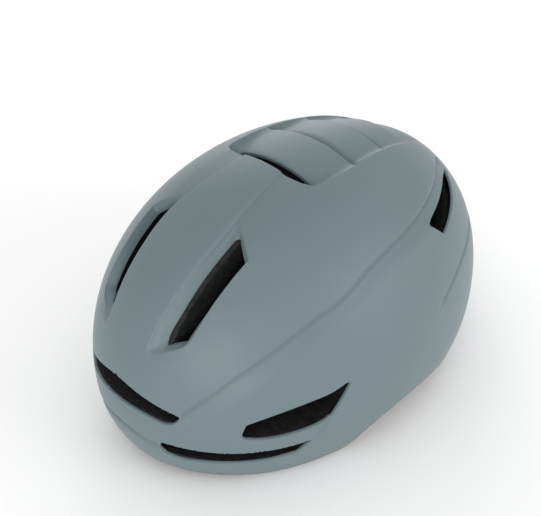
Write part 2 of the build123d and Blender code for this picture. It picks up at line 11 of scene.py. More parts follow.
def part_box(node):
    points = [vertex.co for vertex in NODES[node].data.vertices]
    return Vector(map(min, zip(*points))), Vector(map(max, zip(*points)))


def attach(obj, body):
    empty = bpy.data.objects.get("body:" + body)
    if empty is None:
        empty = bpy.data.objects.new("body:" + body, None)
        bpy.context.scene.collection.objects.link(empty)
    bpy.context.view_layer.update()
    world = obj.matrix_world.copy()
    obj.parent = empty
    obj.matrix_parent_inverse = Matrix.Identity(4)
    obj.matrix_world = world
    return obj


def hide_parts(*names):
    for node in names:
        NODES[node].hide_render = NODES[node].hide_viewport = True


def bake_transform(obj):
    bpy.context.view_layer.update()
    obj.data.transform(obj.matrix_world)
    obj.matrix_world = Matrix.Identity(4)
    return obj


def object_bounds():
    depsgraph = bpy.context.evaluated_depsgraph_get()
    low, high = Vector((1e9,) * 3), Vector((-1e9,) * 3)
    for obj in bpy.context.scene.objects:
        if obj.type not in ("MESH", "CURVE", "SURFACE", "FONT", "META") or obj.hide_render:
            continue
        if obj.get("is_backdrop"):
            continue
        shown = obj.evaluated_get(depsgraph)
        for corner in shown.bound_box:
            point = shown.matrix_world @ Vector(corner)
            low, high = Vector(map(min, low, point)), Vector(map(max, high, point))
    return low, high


# Aero road cycling helmet. The outer skin is a triangulated sheet laid on a formula dome, with its
# vents, louvres and creases worked in. Lengths in this script are millimetres measured from the
# equator plane of the dome, and are turned into metres in the shared frame when a mesh is made.
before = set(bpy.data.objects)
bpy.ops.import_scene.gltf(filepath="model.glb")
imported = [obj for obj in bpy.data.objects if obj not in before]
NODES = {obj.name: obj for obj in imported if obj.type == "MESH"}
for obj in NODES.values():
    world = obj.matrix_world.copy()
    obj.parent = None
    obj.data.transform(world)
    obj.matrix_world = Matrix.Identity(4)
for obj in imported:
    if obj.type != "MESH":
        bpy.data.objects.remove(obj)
size_at_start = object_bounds()

MM = 0.001

# Dome: its equator's height above the floor, the crown's rise and roundness, and how fast the skirt
# draws in below the equator, in radians per millimetre
SHELL_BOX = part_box("outer_shell")
HALF_WIDTH = SHELL_BOX[1].x / MM
HALF_LENGTH = SHELL_BOX[1].y / MM
EQUATOR = 41.0
CROWN_RISE = 122.0
CROWN_POWER = 2.18
CROWN_SAMPLES = 3000
SKIRT_TUCK = 0.01
SKIRT_DEPTH = 60.0

# Skin: its thickness, its thickness at an opening, and the rounding of its edges
SKIN = 1.6
LIP = 1.1
EDGE_ROUND = 0.6
SKIN_SHARP = 38

# Spacing of the points along an outline, and along the line of a crease
OUTLINE_SPACING = 1.3
LINE_SPACING = 0.4

# Liner cavity that the pads lie on, and the thickness of the hook patches under them
CAVITY_Y = -5.0
CAVITY_HALF_WIDTH = 85.0
CAVITY_HALF_LENGTH = 107.0
CAVITY_RISE = 95.0
PATCH_GAP = 1.6
PAD_THICK = 4.0

# Webbing: thickness, and the lower and upper edge of the legs and of the chin straps above the floor
WEBBING_THICK = 1.4
LEG_EDGES = (29, 43)
CHIN_EDGES = (27, 41)

SIDES = (("left", 1), ("right", -1))


# ---------------------------------------------------------------- small tools
def smooth(t):
    t = np.clip(t, 0, 1)
    return t * t * (3 - 2 * t)


def curve_through(points, spacing, closed=False):
    """Centripetal Catmull-Rom curve through the points, sampled about every spacing."""
    pts = np.array(points, float)
    if closed:
        ring = np.vstack((pts[-1], pts, pts[:2]))
    else:
        ring = np.vstack((2 * pts[0] - pts[1], pts, 2 * pts[-1] - pts[-2]))
    out = []
    for a, b, c, d in zip(ring, ring[1:], ring[2:], ring[3:]):
        t1 = np.linalg.norm(b - a) ** 0.5
        t2 = t1 + np.linalg.norm(c - b) ** 0.5
        t3 = t2 + np.linalg.norm(d - c) ** 0.5
        steps = max(1, int(round(np.linalg.norm(c - b) / spacing)))
        for t in np.linspace(t1, t2, steps, endpoint=False):
            p1 = a + (b - a) * t / t1
            p2 = b + (c - b) * (t - t1) / (t2 - t1)
            p3 = c + (d - c) * (t - t2) / (t3 - t2)
            q1 = p1 + (p2 - p1) * t / t2
            q2 = p2 + (p3 - p2) * (t - t1) / (t3 - t1)
            out.append(q1 + (q2 - q1) * (t - t1) / (t2 - t1))
    if not closed:
        out.append(pts[-1])
    return np.array(out)


def outline(points, spacing, closed=True, corner=1.0, sharp=26):
    """Curve through the points that keeps its sharp corners, each with a small rounding."""
    pts = np.array(points, float)
    count = len(pts)
    corners = []
    for i in range(count) if closed else range(1, count - 1):
        a, b = pts[i] - pts[i - 1], pts[(i + 1) % count] - pts[i]
        turn = math.degrees(math.acos(np.clip(a @ b / np.linalg.norm(a) / np.linalg.norm(b), -1, 1)))
        if turn > sharp:
            corners.append(i)
    if closed:
        pts = np.roll(pts, -corners[0], axis=0)
        stops = [c - corners[0] for c in corners] + [count]
        pts = np.vstack((pts, pts[0]))
    else:
        stops = [0] + corners + [count - 1]
    runs = [curve_through(pts[a : b + 1], spacing) for a, b in zip(stops, stops[1:])]
    out = []
    for n, run in enumerate(runs):
        length = np.concatenate(([0], np.cumsum(np.linalg.norm(np.diff(run, axis=0), axis=1))))
        cut = min(corner, 0.35 * length[-1])
        first = cut if closed or n else 0
        last = length[-1] - (cut if closed or n < len(runs) - 1 else 0)
        steps = max(1, int(round((last - first) / spacing)))
        at = np.linspace(first, last, steps + 1)
        body = np.column_stack([np.interp(at, length, run[:, k]) for k in range(run.shape[1])])
        if out:
            out += [0.25 * out[-1] + 0.5 * run[0] + 0.25 * body[0]]
        out += list(body)
    if closed:
        out.append(0.25 * out[-1] + 0.5 * runs[0][0] + 0.25 * out[0])
    return np.array(out)


def inside(points, loop):
    """Which points lie in the closed loop."""
    hit = np.zeros(len(points), bool)
    near = ((points >= loop.min(axis=0)) & (points <= loop.max(axis=0))).all(axis=1)
    px, py = points[near].T
    odd = np.zeros(len(px), bool)
    for (ax, ay), (bx, by) in zip(loop, np.roll(loop, -1, axis=0)):
        if ay == by:
            continue
        odd ^= ((ay > py) != (by > py)) & (px < (bx - ax) * (py - ay) / (by - ay) + ax)
    hit[near] = odd
    return hit


def nearest(points, samples):
    """Distance from each flat or solid point to the nearest sample, and that sample's index."""
    tree = KDTree(len(samples))
    for i, sample in enumerate(samples):
        tree.insert((*sample, 0.0)[:3], i)
    tree.balance()
    found = [tree.find((*p, 0.0)[:3]) for p in points]
    return np.array([f[2] for f in found]), np.array([f[1] for f in found])


def mesh_object(name, verts, faces, sharp, body):
    """New piece from millimetre points measured from the equator plane. A piece given no body is left
    unattached.
    """
    mesh = bpy.data.meshes.new(name)
    pts = (np.asarray(verts, float) + (0, 0, EQUATOR)) * MM
    mesh.from_pydata(pts.tolist(), [], faces)
    mesh.validate()
    mesh.shade_smooth()
    mesh.set_sharp_from_angle(angle=math.radians(sharp))
    obj = bpy.data.objects.new(name, mesh)
    bpy.context.scene.collection.objects.link(obj)
    if body:
        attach(obj, body)
    return obj


# ---------------------------------------------------------------- the dome's formula
def meridian():
    """Tables down the dome: reach from the crown, plan size, height, and half the slope of size squared."""
    turn = np.linspace(0, math.pi / 2, CROWN_SAMPLES)
    k_up = np.sin(turn)
    z_up = CROWN_RISE * np.maximum(1 - k_up**CROWN_POWER, 0) ** (1 / CROWN_POWER)
    z_low = np.linspace(0, -SKIRT_DEPTH, 800)[1:]
    k = np.concatenate((k_up, np.cos(z_low * SKIRT_TUCK)))
    z = np.concatenate((z_up, z_low))
    mean = (HALF_WIDTH + HALF_LENGTH) / 2
    reach = np.concatenate(([0], np.cumsum(np.hypot(mean * np.diff(k), np.diff(z)))))
    slope = 0.5 * np.gradient(k**2, z)
    return reach, k, z, slope


REACH, PLAN, HEIGHT, SLOPE = meridian()


def chart(p):
    """Flat coordinates of points on the dome: distance from the crown, in the direction of the point."""
    p = np.atleast_2d(p)
    angle = np.arctan2(p[:, 1] / HALF_LENGTH, p[:, 0] / HALF_WIDTH)
    reach = np.interp(-p[:, 2], -HEIGHT, REACH)
    return np.column_stack((reach * np.cos(angle), reach * np.sin(angle)))


def on_dome(uv):
    """Points on the dome for flat coordinates."""
    reach = np.hypot(uv[:, 0], uv[:, 1])
    angle = np.arctan2(uv[:, 1], uv[:, 0])
    k = np.interp(reach, REACH, PLAN)
    z = np.interp(reach, REACH, HEIGHT)
    return np.column_stack((HALF_WIDTH * k * np.cos(angle), HALF_LENGTH * k * np.sin(angle), z))


def dome_normal(p):
    n = np.column_stack(
        (p[:, 0] / HALF_WIDTH**2, p[:, 1] / HALF_LENGTH**2, -np.interp(-p[:, 2], -HEIGHT, SLOPE))
    )
    return n / np.linalg.norm(n, axis=1)[:, None]


def project(points, direction):
    """Where lines through the points, seen against the direction, first meet the dome."""
    pts, way = np.array(points, float), np.array(direction, float)
    # from well outside the dome to inside it
    ts = np.linspace(200, -60, 1500)
    out = []
    for p in pts:
        q = p + ts[:, None] * way
        k = np.interp(-q[:, 2], -HEIGHT, PLAN)
        f = (q[:, 0] / HALF_WIDTH) ** 2 + (q[:, 1] / HALF_LENGTH) ** 2 - k**2
        f[q[:, 2] > CROWN_RISE] = 1
        i = max(1, int(np.argmax(f < 0)))
        w = f[i - 1] / (f[i - 1] - f[i])
        out.append(q[i - 1] + (q[i] - q[i - 1]) * w)
    return np.array(out)


def height_at(x, y):
    """Height of the dome over a plan point."""
    k = np.minimum(np.hypot(np.asarray(x) / HALF_WIDTH, np.asarray(y) / HALF_LENGTH), 1)
    return np.interp(k, PLAN[:CROWN_SAMPLES], HEIGHT[:CROWN_SAMPLES])


def on_plane(origin, x_way, normal, points):
    """Points of a flat outline, set on its plane."""
    x_way, normal = np.array(x_way, float), np.array(normal, float)
    y_way = np.cross(normal, x_way)
    return [np.array(origin) + a * x_way + b * y_way for a, b in points]


def cut_out(plane, points, closed=True):
    """Flat coordinates of an outline that is drawn on a plane and projected along its normal."""
    flat = on_plane(*plane, outline(points, OUTLINE_SPACING, closed=closed))
    return chart(project(flat, plane[2]))


def plan_chart(points):
    """Flat coordinates of plan points on top of the dome."""
    pts = np.array(points, float)
    return chart(np.column_stack((pts, height_at(pts[:, 0], pts[:, 1]))))


# ---------------------------------------------------------------- outlines of the wearer's left half
TOP_PLANE = ((0, -103, 81), (1, 0, 0), (0, -0.6, 0.8))
SIDE_PLANE = ((0, 0, 0), (0.5, 0.866, 0), (0.866, -0.5, 0))
LOW_PLANE = ((0, 0, 0), (0.77, 0.638, 0), (0.638, -0.77, 0))
REAR_PLANE = ((60, 70, 77), (0.542, -0.833, 0.109), (0.551, 0.451, 0.702))
BROW_PLANE = ((0, -120, 0), (1, 0, 0), (0, -1, 0))

TOP_VENT = [(26.8, -34.9), (35.9, -27.2), (38.6, -6), (40.5, 25.6), (29, 36.3), (28, 34.6), (27.7, 20),
            (27.4, 2.7), (27.1, -14.8), (26.4, -27.8)]
TOP_RECESS = [(19.8, -44.7), (35, -30.9), (37.6, -25.4), (39.6, 0), (40.9, 28.2), (28.2, 39), (23.1, 42.9),
              (23.6, 34.2), (23.4, 15.9), (22, -2.1), (20.4, -22.8)]
SIDE_VENT = [(-65.7, 7), (-62.7, 14.5), (-55, 16.7), (-42.4, 19.4), (-26.4, 21.6), (-12.7, 22.9),
             (-1.9, 25.9), (-0.3, 24.6), (-5, 17), (-12.6, 6), (-20.6, 3.4), (-31.4, 2.1), (-42.8, 1.6),
             (-54.8, 2.3), (-64.5, 4.5)]
LOW_VENT = [(-68, -3.2), (-57, -4.3), (-42.6, -5.9), (-27.6, -7.7), (-12.8, -8.7), (2, -9.5), (17.2, -9.2),
            (8.5, -17.5), (-1, -18.2), (-13, -18.5), (-28, -17.6), (-43.5, -16.6), (-58, -16), (-66.4, -13.2),
            (-69.9, -8.5)]
REAR_VENT = [(-32, -2.6), (-18, 3.3), (-2.5, 7.6), (16, 10.2), (31, 11), (39.7, -2.3), (35.5, -3), (19, -2.9),
             (2.8, -3.4), (-17, -4.1)]
BROW_TOP = [(0, 31.6), (8, 30.4), (21, 27), (32, 23.4), (38.6, 21.1), (41.7, 19.8), (41.2, 17.4),
            (38.6, 14.1), (34, 13), (28, 14.3), (21, 15.7), (10, 16.8), (0, 17.2)]

# Louvre scoop in plan: half outline from the front lip to the tail, and the blades' stations along it
SCOOP_SIDE = [(37.6, -19), (38.6, -12), (38.4, -2), (36.9, 14), (34.8, 32), (33, 50), (30, 73), (25.5, 92),
              (19, 107)]
SCOOP_LIP = [(0, -28), (9, -28.1), (17, -28.2), (27, -27), (34, -24.2), (37.6, -19)]
# Blades: front station, depth of the gentle ramp, depth and length of the nose that plunges under the
# blade before
BLADES = [(-30, 5.5, 7.5, 14), (12, 4.2, 6.5, 10), (45, 3.2, 4.5, 8), (76, 2.2, 2.6, 6)]
BLADE_END = 107
# Plan width of a blade's step, how much sooner it comes on the inner side, width of the scoop's side walls
STEP = 0.35
INNER_SHIFT = 1.2
WALL = 6.5
# Side and rear end of the slit under the front lip, and the station where the scoop's side edges begin
SLIT = (31, -19)
SIDE_START = -19
RECESS_DEPTH = 4.4

CREASE = [(19, -137, 53), (19.6, -129, 66), (21, -116, 80), (22, -97, 95), (22, -79, 105), (20, -63, 111),
          (18, -47, 116), (16, -27, 120)]
SWOOSH = [(42, -136, 21), (52, -126, 32), (63, -109, 46), (71, -90, 57), (77, -68.5, 67), (80, -50, 72),
          (80.5, -25.5, 81), (79, -6, 85), (75, 21.6, 88), (66, 49, 90), (56, 71, 90), (45, 88, 89),
          (35, 103, 85)]
BROW_LINE = [(0, -151, -1.8), (8, -150.4, -3.0), (16, -149, -5.0), (24, -147, -7.2), (30, -144, -8.4)]
LEDGE = [(97, 20, 34), (92, 50, 44), (82, 75, 48), (62, 103, 49), (36, 124, 48), (0, 136, 47)]
CORNER_LINE = [(88.6, -78, -8), (90.2, -74.8, -4.4), (91.8, -70.9, 1.7), (92.8, -68, 6.5)]


def scoop_half(y):
    """Half width of the scoop at a station."""
    side = np.array(SCOOP_SIDE)
    return np.interp(y, side[:, 1], side[:, 0], right=0)


def lip_y(x):
    """Station of the front lip at a distance from the middle."""
    lip = curve_through(SCOOP_LIP, 1.0)
    return np.interp(np.abs(x), lip[:, 0], lip[:, 1], right=99)


def louvre_drop(x, y, shift=0.0):
    """Depth of the louvre blades below the dome: each rises to the rear, up to its crest."""
    x = np.abs(x)
    fronts = np.array([b[0] for b in BLADES] + [BLADE_END], float)
    row = np.clip(np.searchsorted(fronts + STEP / 2 - shift, y, side="right") - 1, 0, len(BLADES) - 1)
    start, end = fronts[row], fronts[row + 1]
    depth, nose, nose_length = np.array([b[1:] for b in BLADES], float)[row].T
    along = np.clip((y - start) / (end - start), 0, 1)
    half = np.maximum(scoop_half(np.maximum(y, SIDE_START)), 1e-6)
    fade = 1 - smooth((y - 84) / 23)
    crest = (0.5 + 1.9 * np.clip(x / half, 0, 1) ** 2) * fade
    ramp = depth * (1 - along) ** 1.1 + nose * np.clip(1 - (y - start) / nose_length, 0, 1) ** 2
    edge = half - x
    wall = 1 - (1 - np.clip(edge / WALL, 0, 1)) ** 2.3
    lip = y > lip_y(x) + STEP / 2
    drop = np.where(lip & (edge > 0) & (y < BLADE_END), (ramp + crest) * wall, 0)
    to_crest = np.clip((end - y) / 0.8, 0, 1)
    return drop + np.where(drop > 0, 0.45 * (1 - to_crest) ** 2 * fade, 0)


def shoulder(p, line, depth, step, recover, fade):
    """A raised panel's edge along the line: a short slope on the outer side that fades out again."""
    samples = on_dome(chart(curve_through(line, LINE_SPACING)))
    distance, index = nearest(p, samples)
    tangent = np.gradient(samples, axis=0)[index]
    normal = dome_normal(samples)[index]
    side = np.einsum("ij,ij->i", np.cross(tangent, normal), p - samples[index])
    signed = np.where(side > 0, distance, -distance)
    to_last = len(samples) - 1 - index
    ends = smooth(index * LINE_SPACING / fade[0]) * smooth(to_last * LINE_SPACING / fade[1])
    down = smooth((signed + step * 0.3) / step) * (1 - smooth((signed - step * 0.7) / recover))
    return depth * down * ends


def groove(p, line, depth, width, taper):
    """A rounded channel along the line. It tapers off at its ends, but not on the middle line."""
    samples = on_dome(chart(curve_through(line, LINE_SPACING)))
    distance, index = nearest(p, samples)
    to_last = len(samples) - 1 - index
    if line[0][0] == 0:
        steps = to_last
    elif line[-1][0] == 0:
        steps = index
    else:
        steps = np.minimum(index, to_last)
    return depth * np.exp(-((distance / width) ** 2)) * smooth(steps * LINE_SPACING / taper)


# ---------------------------------------------------------------- shell sheet
# Points along the lower edge, and the height in metres that the CAD shell's lower edge stays under
RIM_SAMPLES = 420
RIM_EDGE_TOP = 0.0265
# Free points are either on the middle line, to within ON_MIDDLE, or this far off it
MIDDLE_GAP = 0.8
ON_MIDDLE = 1e-6


def rim_loop():
    """Half of the lower edge, front to rear, on the dome: its height follows the CAD shell's lower edge."""
    mesh = NODES["outer_shell"].data
    low = {
        (mesh.vertices[i].co.y / MM, mesh.vertices[i].co.z / MM - EQUATOR)
        for f in mesh.polygons
        if f.normal.z < -0.6 and f.center.z < RIM_EDGE_TOP
        for i in f.vertices
    }
    ys, zs = np.array(sorted(low)).T
    out = []
    for angle in np.linspace(-math.pi / 2, math.pi / 2, RIM_SAMPLES):
        # the station and the height depend on each other, so they are settled in turns
        z = -30.0
        for _ in range(25):
            k = math.cos(z * SKIRT_TUCK)
            z = float(np.interp(HALF_LENGTH * k * math.sin(angle), ys, zs))
        k = math.cos(z * SKIRT_TUCK)
        out.append((HALF_WIDTH * k * math.cos(angle), HALF_LENGTH * k * math.sin(angle), z))
    rim = chart(np.array(out))
    rim[0, 0] = rim[-1, 0] = 0
    return rim


def slit_loop():
    """Half of the slit under the front lip."""
    lip = curve_through(SCOOP_LIP, 1.0)
    front = lip[lip[:, 0] <= SLIT[0]]
    side_y = front[-1, 1]
    side = [(SLIT[0], side_y + STEP)] + [(SLIT[0], y) for y in np.arange(side_y + 1.5, SLIT[1] - 1, 1.2)]
    back = [(SLIT[0] - 1, SLIT[1] - 0.3)] + [(x, SLIT[1]) for x in np.linspace(SLIT[0] - 2.2, 0, 24)]
    return plan_chart(list(map(tuple, front)) + side + back)


TOP_LOOP = cut_out(TOP_PLANE, TOP_VENT)
RECESS = cut_out(TOP_PLANE, TOP_RECESS)
VENTS = [
    TOP_LOOP,
    cut_out(SIDE_PLANE, SIDE_VENT),
    cut_out(LOW_PLANE, LOW_VENT),
    cut_out(REAR_PLANE, REAR_VENT),
]
HALVES = [cut_out(BROW_PLANE, BROW_TOP, closed=False), slit_loop()]
for half_hole in HALVES:
    half_hole[0, 0] = half_hole[-1, 0] = 0
HOLES = VENTS + HALVES


def drop_at(p, uv, shift=0.0):
    """How far the finished skin lies below the dome at each point of the left half.

    shift is how much sooner the blades' steps come."""
    drop = np.zeros(len(p))
    on_top = p[:, 2] > 40
    drop[on_top] += louvre_drop(p[on_top, 0], p[on_top, 1], shift)
    drop += shoulder(p, CREASE, 1.3, 2.0, 16, (4, 3)) + groove(p, CREASE, 0.8, 0.9, 4)
    drop += shoulder(p, SWOOSH, 1.5, 1.6, 12, (1.5, 14)) + groove(p, SWOOSH, 1.2, 1.0, 5)
    drop += groove(p, BROW_LINE, 1.7, 1.5, 4)
    drop += groove(p, LEDGE, 1.1, 1.4, 10)
    drop += groove(p, CORNER_LINE, 1.1, 1.3, 3)
    in_recess = inside(uv, RECESS)
    to_outer = nearest(uv[in_recess], RECESS)[0]
    to_vent = nearest(uv[in_recess], TOP_LOOP)[0]
    drop[in_recess] += RECESS_DEPTH * to_outer / (to_outer + to_vent + 1e-6)
    return drop


class Sheet:
    """Points of the flat left half, kept a gap apart, and the edges that its triangles have to follow."""

    CELL = 0.6

    def __init__(self):
        self.points, self.edges, self.taken = [], [], {}

    def cell(self, p):
        return int(math.floor(p[0] / self.CELL)), int(math.floor(p[1] / self.CELL))

    def add(self, p):
        self.taken.setdefault(self.cell(p), []).append(tuple(p))
        self.points.append(tuple(p))

    def put(self, p, gap):
        """Adds a point that has no other within the gap, if it is on the middle line or clear of it."""
        if abs(p[0]) <= ON_MIDDLE:
            p = (0.0, float(p[1]))
        elif p[0] < MIDDLE_GAP:
            return
        cx, cy = self.cell(p)
        reach = int(math.ceil(gap / self.CELL))
        for ix in range(cx - reach, cx + reach + 1):
            for iy in range(cy - reach, cy + reach + 1):
                for q in self.taken.get((ix, iy), ()):
                    if (q[0] - p[0]) ** 2 + (q[1] - p[1]) ** 2 < gap * gap:
                        return
        self.add(p)

    def fixed(self, line, closed=False):
        """Adds a line that the triangles follow."""
        first, count = len(self.points), len(line)
        for p in line:
            self.add(p)
        for i in range(count if closed else count - 1):
            self.edges.append((first + i, first + (i + 1) % count))

    def rows(self, line, offsets, gap):
        """Adds rows of points beside a line."""
        ways = np.gradient(line, axis=0)
        ways = np.column_stack((ways[:, 1], -ways[:, 0])) / np.linalg.norm(ways, axis=1)[:, None]
        for off in offsets:
            for p in line + ways * off:
                if p[0] >= MIDDLE_GAP:
                    self.put(p, gap)

    def join_middle(self):
        """Fixes the middle line, from point to point."""
        middle = sorted((p[1], i) for i, p in enumerate(self.points) if abs(p[0]) < ON_MIDDLE)
        self.edges += [(a, b) for (_, a), (_, b) in zip(middle, middle[1:])]


def lay_louvres(sheet, fine):
    """The scoop's edge, the blades' steps and points over the blades. The inner side's steps come sooner."""
    shift = 0 if fine else INNER_SHIFT
    lip = curve_through(SCOOP_LIP, 1.0)
    corner = lip[lip[:, 0] > SLIT[0] + 0.5]
    sheet.fixed(plan_chart(corner))
    sheet.fixed(plan_chart(corner + (0, STEP)))
    sheet.fixed(plan_chart(curve_through(SCOOP_SIDE, OUTLINE_SPACING)[1:]))
    steps = [blade[0] - shift for blade in BLADES[1:]]
    for y in steps:
        half = float(scoop_half(y))
        xs = np.linspace(0, half - 0.5, int(half / OUTLINE_SPACING))
        for off in (0, STEP):
            sheet.fixed(plan_chart([(x, y + off) for x in xs]))
    sheet.fixed(RECESS, True)
    for y in np.arange(-24, BLADE_END, 1.3 if fine else 2.6):
        half = float(scoop_half(max(y, SIDE_START)))
        beside_wall = half - np.array([0.5, 1.2, 2.2, 3.4, 4.8, WALL - 0.1])
        for x in [*beside_wall, *np.arange(0, half - 7, 2.2)]:
            sheet.put(plan_chart([(max(x, 0.0), y)])[0], 0.7)
    for y in steps:
        for off in (-0.35, -0.8, -1.5):
            for x in np.linspace(0, float(scoop_half(y)) - 0.5, 28):
                sheet.put(plan_chart([(x, y + off)])[0], 0.3)


def lay_recess(sheet):
    """Even points over the recess around the top vent."""
    low, high = RECESS.min(axis=0), RECESS.max(axis=0)
    us, vs = (np.arange(a, b, OUTLINE_SPACING) for a, b in zip(low, high))
    grid = np.array([(u, v) for u in us for v in vs])
    for p in grid[inside(grid, RECESS)]:
        sheet.put(p, 0.8)


def lay_open_surface(sheet, rim, fine):
    """A triangular grid over the whole half, denser near anything worked into it."""
    step = 2.4 if fine else 6.0
    reach = float(np.abs(rim).max()) + 5
    grid = np.array([
        (u, v)
        for j, v in enumerate(np.arange(-reach, reach, step * 0.866))
        for u in np.arange(0 if j % 2 else step / 2, reach, step)
    ])
    grid = grid[inside(grid, np.vstack((rim, (-0.5, reach), (-0.5, -reach))))]
    for p in grid:
        sheet.put(p, step * 0.62)
    for v in np.arange(-reach, reach, step):
        if rim[0, 1] + 1 < v < rim[-1, 1] - 1:
            sheet.put((0.0, float(v)), step * 0.4)
    if fine:
        features = np.vstack([chart(curve_through(line, 1.5)) for line in (CREASE, SWOOSH, LEDGE)] + HOLES)
        for u, v in grid[nearest(grid, features)[0] < 6]:
            for du, dv in ((step / 2, 0), (step / 4, step * 0.433), (-step / 4, step * 0.433)):
                sheet.put((u + du, v + dv), step * 0.36)


def build_sheet(fine):
    """Flat points and triangles of the left half. The coarse sheet is the skin's hidden inner side."""
    sheet = Sheet()
    rim = rim_loop()
    sheet.fixed(rim)
    for loop in VENTS:
        sheet.fixed(loop, True)
    for half in HALVES:
        sheet.fixed(half)
    lay_louvres(sheet, fine)
    lay_recess(sheet)
    if fine:
        for loop in HOLES:
            sheet.rows(loop, (-0.45, 0.45, -0.9, 0.9, -1.8, 1.8), 0.4)
        sheet.rows(rim, (-0.45, 0.45, -0.9, 0.9, -2, 2), 0.4)
        for line in (CREASE, SWOOSH, BROW_LINE, LEDGE, CORNER_LINE):
            centre = chart(curve_through(line, 1.5))
            sheet.rows(centre, (0, -0.5, 0.5, -1.0, 1.0, -1.6, 1.6, -2.4, 2.4, -3.6, 3.6), 0.42)
    lay_open_surface(sheet, rim, fine)
    sheet.join_middle()

    points = [Vector(p) for p in sheet.points]
    verts, _, faces, _, _, _ = delaunay_2d_cdt(points, sheet.edges, [], 0, 1e-5, True)
    uv, faces = np.array([tuple(v) for v in verts]), np.array(faces)
    middle = uv[faces].mean(axis=1)
    keep = inside(middle, np.vstack((rim, (0, rim[0, 1])))) & (middle[:, 0] > 0)
    for hole in HOLES:
        keep &= ~inside(middle, hole)
    # slivers that lie on the middle line
    keep &= np.abs(uv[faces][:, :, 0]).max(axis=1) > 1e-4
    faces = faces[keep]
    used = np.unique(faces)
    remap = -np.ones(len(uv), int)
    remap[used] = np.arange(len(used))
    return uv[used], remap[faces]


def open_edges_of(uv, faces):
    """Edges with one face only, leaving out the middle line."""
    edges = np.sort(np.vstack((faces[:, [0, 1]], faces[:, [1, 2]], faces[:, [2, 0]])), axis=1)
    unique, counts = np.unique(edges, axis=0, return_counts=True)
    single = unique[counts == 1]
    on_middle = (np.abs(uv[single][:, :, 0]) < 1e-4).all(axis=1)
    return single[~on_middle]


def flat_key(p):
    return round(p[0], 3), round(p[1], 3)


def make_shell():
    """The skin: fine outer side, coarse inner side, walls between them, and the mirrored half."""
    uv, faces = build_sheet(True)
    open_edges = open_edges_of(uv, faces)
    base = on_dome(uv)
    drop = drop_at(base, uv)
    to_edge = nearest(base, base[np.unique(open_edges)])[0]
    rounding = np.clip(1 - to_edge / EDGE_ROUND, 0, 1)
    drop += EDGE_ROUND * (1 - np.sqrt(1 - rounding**2))
    outer = base - dome_normal(base) * drop[:, None]
    outer[np.abs(uv[:, 0]) < 1e-4, 0] = 0

    inner_uv, inner_faces = build_sheet(False)
    edge = np.unique(open_edges_of(inner_uv, inner_faces))
    base = on_dome(inner_uv)
    drop = drop_at(base, inner_uv, INNER_SHIFT) + SKIN
    drop[edge] = drop_at(base[edge], inner_uv[edge]) + EDGE_ROUND + LIP
    inner = base - dome_normal(base) * drop[:, None]
    inner[np.abs(inner_uv[:, 0]) < 1e-4, 0] = 0

    verts = [tuple(p) for p in np.vstack((outer, inner))]
    count = len(outer)
    polys = [tuple(f) for f in faces] + [tuple(count + i for i in f[::-1]) for f in inner_faces]
    spot = {flat_key(p): count + i for i, p in enumerate(inner_uv)}
    for a, b in open_edges:
        polys.append((int(a), int(b), spot[flat_key(uv[b])], spot[flat_key(uv[a])]))
    total = len(verts)
    polys += [tuple(total + i for i in f[::-1]) for f in polys]
    verts += [(-x, y, z) for x, y, z in verts]
    obj = mesh_object("helmet_skin", verts, polys, SKIN_SHARP, "helmet")
    bm = bmesh.new()
    bm.from_mesh(obj.data)
    bmesh.ops.remove_doubles(bm, verts=[v for v in bm.verts if abs(v.co.x) < 1e-6], dist=1e-6)
    bmesh.ops.recalc_face_normals(bm, faces=bm.faces)
    bm.to_mesh(obj.data)
    bm.free()
    obj.data.shade_smooth()
    obj.data.set_sharp_from_angle(angle=math.radians(SKIN_SHARP))
    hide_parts("outer_shell")
    return obj


# ---------------------------------------------------------------- materials
class Maker:
    """Small helper to build a material's node graph."""

    def __init__(self, name):
        self.material = bpy.data.materials.new(name)
        self.material.use_nodes = True
        self.nodes = self.material.node_tree.nodes
        self.links = self.material.node_tree.links
        self.shader = self.nodes["Principled BSDF"]
        self.coords = self.nodes.new("ShaderNodeTexCoord").outputs["Object"]

    def node(self, kind, **values):
        node = self.nodes.new(kind)
        for key, value in values.items():
            if key in node.inputs:
                node.inputs[key].default_value = value
            else:
                setattr(node, key, value)
        return node

    def noise(self, scale, detail=4.0):
        node = self.node("ShaderNodeTexNoise", Scale=scale, Detail=detail)
        self.links.new(self.coords, node.inputs["Vector"])
        return node.outputs["Fac"]

    def cells(self, scale):
        node = self.node("ShaderNodeTexVoronoi", Scale=scale, feature="F1")
        self.links.new(self.coords, node.inputs["Vector"])
        return node.outputs["Distance"]

    def ramp(self, source, low, high, start=0.3, end=0.7):
        node = self.nodes.new("ShaderNodeValToRGB")
        node.color_ramp.elements[0].position = start
        node.color_ramp.elements[1].position = end
        node.color_ramp.elements[0].color = (*low, 1)
        node.color_ramp.elements[1].color = (*high, 1)
        self.links.new(source, node.inputs["Fac"])
        return node.outputs["Color"]

    def spread(self, source, low, high):
        node = self.nodes.new("ShaderNodeMapRange")
        node.inputs["To Min"].default_value = low
        node.inputs["To Max"].default_value = high
        self.links.new(source, node.inputs["Value"])
        return node.outputs["Result"]

    def bump(self, height, strength, distance, below=None):
        node = self.node("ShaderNodeBump", Strength=strength, Distance=distance)
        self.links.new(height, node.inputs["Height"])
        if below is not None:
            self.links.new(below, node.inputs["Normal"])
        return node.outputs["Normal"]

    def put(self, socket, source):
        self.links.new(source, self.shader.inputs[socket])

    def plain(self, **values):
        for key, value in values.items():
            self.shader.inputs[key.replace("_", " ")].default_value = value


